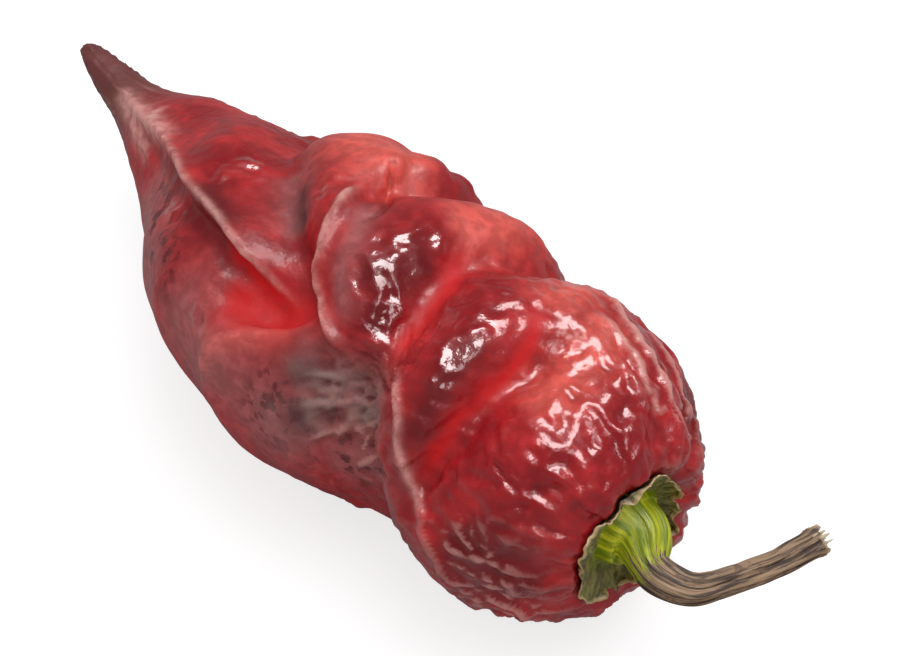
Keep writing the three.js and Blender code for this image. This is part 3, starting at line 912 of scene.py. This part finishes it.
class Finish:
    """A material under construction, with short names for the nodes used here."""

    def __init__(self, name):
        self.material = bpy.data.materials.new(name)
        self.material.use_nodes = True
        self.tree = self.material.node_tree
        self.shader = self.tree.nodes["Principled BSDF"]

    def node(self, kind, **settings):
        made = self.tree.nodes.new("ShaderNode" + kind)
        for name, value in settings.items():
            setattr(made, name, value)
        return made

    def feed(self, socket, value):
        """Links a node's output to a socket, or sets the socket to a plain value."""
        if isinstance(value, bpy.types.NodeSocket):
            self.tree.links.new(value, socket)
        else:
            socket.default_value = value

    def attribute(self, name):
        return self.node("Attribute", attribute_name=name).outputs["Fac"]

    def place(self):
        return self.node("TexCoord").outputs["Object"]

    def stretched(self, along, turn):
        """A place from a distance and a turn, for patterns that run along the surface."""
        joined = self.node("CombineXYZ")
        parts = (along, self.calculate("COSINE", turn), self.calculate("SINE", turn))
        for socket, value in zip(joined.inputs, parts):
            self.feed(socket, value)
        return joined.outputs[0]

    def noise(self, place, scale, detail=4, roughness=0.55):
        """Noise from 0 to 1, with about this many lumps per metre."""
        made = self.node("TexNoise")
        self.feed(made.inputs["Vector"], place)
        made.inputs["Scale"].default_value = scale
        made.inputs["Detail"].default_value = detail
        made.inputs["Roughness"].default_value = roughness
        return made.outputs["Fac"]

    def cells(self, place, scale):
        made = self.node("TexVoronoi", feature="SMOOTH_F1")
        self.feed(made.inputs["Vector"], place)
        made.inputs["Scale"].default_value = scale
        return made.outputs["Distance"]

    def calculate(self, operation, *values):
        made = self.node("Math", operation=operation)
        for socket, value in zip(made.inputs, values):
            self.feed(socket, value)
        return made.outputs[0]

    def times(self, first, second):
        return self.calculate("MULTIPLY", first, second)

    def plus(self, first, second):
        return self.calculate("ADD", first, second)

    def most(self, first, second):
        return self.calculate("MAXIMUM", first, second)

    def span(self, value, low, high, to_low=0.0, to_high=1.0):
        """Maps low..high smoothly to to_low..to_high."""
        made = self.node("MapRange", interpolation_type="SMOOTHSTEP")
        for socket, part in zip(made.inputs, (value, low, high, to_low, to_high)):
            self.feed(socket, part)
        return made.outputs[0]

    def mix(self, share, first, second):
        made = self.node("Mix", data_type="RGBA")
        self.feed(made.inputs["Factor"], share)
        self.feed(made.inputs[COLOUR_A], first)
        self.feed(made.inputs[COLOUR_B], second)
        return made.outputs[COLOUR_RESULT]

    def bump(self, height, distance, strength):
        made = self.node("Bump")
        self.feed(made.inputs["Height"], height)
        made.inputs["Distance"].default_value = distance * MM
        made.inputs["Strength"].default_value = strength
        return made.outputs["Normal"]

    def set(self, **values):
        """Sets the shader's sockets by name, with _ for a space."""
        for name, value in values.items():
            self.feed(self.shader.inputs[name.replace("_", " ")], value)


def skin_colour(f, place, mottling):
    """Red, mottled skin, with each painted patch laid over the ones before it; some of them are painted
    light, shade, sheen, glow and highlights.
    """
    fine = f.noise(place, 900, detail=3)
    relief = f.attribute("relief")
    tone = f.mix(f.span(mottling, 0.36, 0.66), SKIN_DARK, SKIN_RED)
    tone = f.mix(f.span(f.attribute("bulge"), 0.3, 1.4, 0, 0.2), tone, SKIN_BULGE)
    # Painted light on the tops of the bulges and crests.
    tone = f.mix(f.times(f.attribute("lit_tops"), 0.88), tone, SKIN_LIT_TOP)
    # Dark skin, and painted shade low on the base.
    tone = f.mix(f.times(f.attribute("deep"), 0.85), tone, SKIN_DARK_AND_SHADE)
    # Painted sheen of the pale table.
    tone = f.mix(f.times(f.attribute("mauve_sheen"), 0.64), tone, SKIN_MAUVE_SHEEN)
    blotches = f.span(f.noise(place, 800, detail=4), 0.5, 0.6, 0, 0.85)
    tone = f.mix(f.times(f.attribute("dry"), blotches), tone, SKIN_BLOTCH)
    # Painted shade: darker where the skin's detail sinks it, in grooves and hollows.
    tone = f.mix(f.span(relief, -0.3, -0.05, 0.4, 0), tone, SKIN_GROOVE_SHADE)
    tone = f.mix(f.span(fine, 0.4, 0.64, 0.3, 0), tone, SKIN_SPECK)
    # Painted glow on the valley floors.
    valley_glow_share = f.times(f.attribute("valley_glow"), f.span(mottling, 0.34, 0.58, 0.7, 0.98))
    tone = f.mix(valley_glow_share, tone, SKIN_VALLEY_GLOW)
    # Grey bloom with painted light and shade: darker in its hollows, lighter on its raised crests.
    bloom = f.mix(f.span(relief, -0.08, 0.2), BLOOM_SHADE, BLOOM_LIT)
    bloomed = f.times(f.attribute("bloom"), f.span(mottling, 0.34, 0.6, 0.35, 0.88))
    tone = f.mix(bloomed, tone, bloom)
    tailward = f.plus(f.attribute("along"), f.times(mottling, 8.0))
    tone = f.mix(f.span(tailward, 63, 71, 0, 0.85), tone, SKIN_TAIL)
    # Pale skin, and painted highlights along thin ridges.
    pale = f.times(f.attribute("pale"), f.span(fine, 0.35, 0.65, 0.45, 0.9))
    tone = f.mix(pale, tone, SKIN_PALE_AND_HIGHLIGHT)
    # Painted highlights on the sharp crests of wrinkles.
    return f.mix(f.times(f.attribute("crests"), 0.6), tone, SKIN_CREST_HIGHLIGHT)


def skin_material():
    """Glossy where it is crumpled, satin on the smooth lobes, and dull in valleys and on bloom."""
    f = Finish("pepper_skin")
    place = f.place()
    mottling = f.noise(place, 220)
    crumpled = f.attribute("crumpled")
    dull = f.most(f.attribute("bloom"), f.attribute("valley_glow"))
    dull = f.most(dull, f.attribute("pale"))
    roughness = f.plus(f.span(mottling, 0.3, 0.7, 0.32, 0.46), f.span(dull, 0.1, 0.8, 0, 0.2))
    roughness = f.plus(roughness, f.span(crumpled, 0.1, 0.6, 0.12, 0))
    shine = f.times(f.span(crumpled, 0.35, 1.0, 0.1, 1.0), f.span(dull, 0.1, 0.8, 1.0, 0.1))
    grain = f.plus(f.noise(place, 1100, detail=3), f.cells(place, 900))
    wrinkled = f.bump(grain, distance=0.22, strength=0.4)
    f.set(Base_Color=skin_colour(f, place, mottling), Roughness=roughness)
    f.set(Normal=wrinkled, Coat_Normal=wrinkled, Specular_IOR_Level=0.2)
    f.set(Subsurface_Weight=0.12, Subsurface_Radius=(1.0, 0.12, 0.1), Subsurface_Scale=1.6 * MM)
    f.set(Coat_Weight=shine, Coat_Roughness=0.06, Coat_IOR=1.4)
    return f.material


def stem_material(length):
    """Green, streaked foot that turns into brown fibrous bark, with a pale torn end."""
    f = Finish("stem_bark")
    reach = f.attribute("reach")
    streaky = f.stretched(f.times(reach, 0.06), f.attribute("turn"))
    streaks = f.noise(streaky, 4, detail=4, roughness=0.6)
    strands = f.noise(streaky, 11, detail=3)
    spots = f.noise(f.place(), 900)
    green = f.mix(f.span(streaks, 0.38, 0.62), FOOT_DARK, FOOT_LIGHT)
    green = f.mix(f.span(strands, 0.5, 0.66, 0, 0.5), green, FOOT_STRAND)
    bark = f.mix(f.span(streaks, 0.4, 0.6), BARK_DARK, BARK_LIGHT)
    bark = f.mix(f.span(spots, 0.56, 0.7, 0, 0.6), bark, BARK_SPOT)
    ragged = f.plus(reach, f.span(strands, 0.3, 0.7, -1.3, 1.3))
    tone = f.mix(f.span(ragged, FOOT_LENGTH - 0.1, FOOT_LENGTH + 0.1), green, bark)
    tone = f.mix(f.attribute("torn"), tone, TORN_FIBRE)
    tone = f.mix(f.span(reach, length - 0.5, length, 0, 0.7), tone, TORN_EDGE)
    height = f.plus(streaks, f.times(strands, 0.7))
    f.set(Base_Color=tone, Roughness=f.span(ragged, 4.0, 6.0, 0.4, 0.62), Specular_IOR_Level=0.25)
    f.set(Normal=f.bump(height, distance=0.22, strength=0.8))
    f.set(Subsurface_Weight=0.05, Subsurface_Scale=0.6 * MM)
    return f.material


def calyx_material():
    """Leathery olive skirt, greener towards the foot, with a dry tan edge."""
    f = Finish("calyx_green")
    edge = f.attribute("edge")
    veined = f.stretched(f.times(edge, 0.5), f.attribute("turn"))
    veins = f.noise(veined, 9, detail=5, roughness=0.6)
    blotches = f.noise(f.place(), 500)
    tone = f.mix(f.span(veins, 0.35, 0.65), CALYX_DARK, CALYX_OLIVE)
    tone = f.mix(f.span(edge, 0.1, 0.5, 0.95, 0), tone, CALYX_GREEN)
    tone = f.mix(f.span(blotches, 0.5, 0.68, 0, 0.6), tone, CALYX_BROWN)
    tone = f.mix(f.span(edge, 0.9, 0.985), tone, CALYX_TAN)
    f.set(Base_Color=tone, Roughness=f.span(blotches, 0.3, 0.7, 0.42, 0.65))
    f.set(Normal=f.bump(f.plus(veins, blotches), distance=0.15, strength=0.6))
    f.set(Subsurface_Weight=0.08, Subsurface_Scale=0.5 * MM)
    return f.material


def floor_material():
    """Pale and matt. It glows a little where it is seen directly, which keeps its shadows light."""
    f = Finish("table_top")
    shade = f.noise(f.place(), 30, detail=2)
    seen = f.node("LightPath").outputs["Is Camera Ray"]
    f.set(Base_Color=f.mix(shade, FLOOR_DARK, FLOOR_LIGHT), Roughness=0.9)
    f.set(Emission_Color=WHITE, Emission_Strength=f.times(seen, FLOOR_GLOW))
    return f.material


# ---- Table, light and camera ----------

CAMERA_AZIMUTH = 49.4  # degrees from a view along +Y
CAMERA_ELEVATION = 48.0
CAMERA_DISTANCE = 220  # from the point that it looks at
CAMERA_LENS = 104
CAMERA_CLIP = 0.01  # metres
LOOK_AT = Vector((5.3, 7.3, 10.3))  # the middle of the picture
FLOOR_SIZE = 3000
FLOOR_GLOW = 0.72
SOFTBOX_AIM = Vector((4, 0, 18))
SOFTBOX_DISTANCE = 450
ROOM_LIGHT = 0.68
ROOM_SEEN = 1.0
# The room as glossy surfaces mirror it: heights in it, from -1 to 1, and its light at those heights.
MIRRORED_ROOM = {"From Min": 0.05, "From Max": 0.7, "To Min": 0.3, "To Max": 0.05}


def direction(azimuth, elevation):
    """The unit vector from the object towards a viewer at this azimuth and elevation."""
    a, e = math.radians(azimuth), math.radians(elevation)
    return Vector((math.sin(a) * math.cos(e), -math.cos(a) * math.cos(e), math.sin(e)))


def aim(thing, target):
    thing.rotation_euler = (thing.location - target).to_track_quat("Z", "Y").to_euler()


def make_floor():
    half = FLOOR_SIZE / 2
    corners = [(-half, -half, 0), (half, -half, 0), (half, half, 0), (-half, half, 0)]
    floor = new_object("table_top", corners, [(0, 1, 2, 3)])
    floor.data.materials.append(floor_material())


def make_softbox(
    name, azimuth, elevation, size, power, distance=SOFTBOX_DISTANCE, mirrored=True
):
    """A rectangular light: one that glossy surfaces mirror, or one that only lights them softly."""
    light = bpy.data.lights.new(name, "AREA")
    light.shape = "RECTANGLE"
    light.size, light.size_y = (side * MM for side in size)
    light.energy = power
    lamp = bpy.data.objects.new(name, light)
    lamp.location = (SOFTBOX_AIM + distance * direction(azimuth, elevation)) * MM
    lamp.visible_glossy = mirrored
    lamp.visible_diffuse = not mirrored
    aim(lamp, SOFTBOX_AIM * MM)
    bpy.context.scene.collection.objects.link(lamp)


def make_world():
    """An evenly lit room, seen white. Glossy surfaces mirror it dimmer, and darkest overhead."""
    world = bpy.data.worlds.new("room")
    world.use_nodes = True
    nodes, links = world.node_tree.nodes, world.node_tree.links
    rays = nodes.new("ShaderNodeLightPath")
    split = nodes.new("ShaderNodeSeparateXYZ")
    mirrored = nodes.new("ShaderNodeMapRange")
    lit = nodes.new("ShaderNodeMix")
    seen = nodes.new("ShaderNodeMix")
    links.new(nodes.new("ShaderNodeTexCoord").outputs["Generated"], split.inputs[0])
    links.new(split.outputs["Z"], mirrored.inputs["Value"])
    for name, value in MIRRORED_ROOM.items():
        mirrored.inputs[name].default_value = value
    links.new(rays.outputs["Is Glossy Ray"], lit.inputs["Factor"])
    lit.inputs[NUMBER_A].default_value = ROOM_LIGHT
    links.new(mirrored.outputs[0], lit.inputs[NUMBER_B])
    links.new(rays.outputs["Is Camera Ray"], seen.inputs["Factor"])
    links.new(lit.outputs[NUMBER_RESULT], seen.inputs[NUMBER_A])
    seen.inputs[NUMBER_B].default_value = ROOM_SEEN
    links.new(seen.outputs[NUMBER_RESULT], nodes["Background"].inputs["Strength"])
    nodes["Background"].inputs["Color"].default_value = WHITE
    bpy.context.scene.world = world


def make_camera():
    data = bpy.data.cameras.new("camera")
    data.lens = CAMERA_LENS
    data.clip_start = CAMERA_CLIP
    camera = bpy.data.objects.new("camera", data)
    towards = direction(CAMERA_AZIMUTH, CAMERA_ELEVATION)
    camera.location = (LOOK_AT + CAMERA_DISTANCE * towards) * MM
    aim(camera, LOOK_AT * MM)
    bpy.context.scene.collection.objects.link(camera)
    bpy.context.scene.camera = camera


# ---- The scene ------------------------

pod_points = make_pod()
make_stem()
make_calyx(pod_points)
make_floor()
make_softbox("window", azimuth=150, elevation=78, size=(260, 280), power=5.2)
make_softbox("near_window", azimuth=78, elevation=50, size=(130, 170), power=0.7)
make_softbox(
    "ceiling", azimuth=150, elevation=75, size=(900, 900), power=3.8, distance=1000, mirrored=False
)
make_world()
make_camera()
bpy.context.scene.view_settings.view_transform = "Standard"
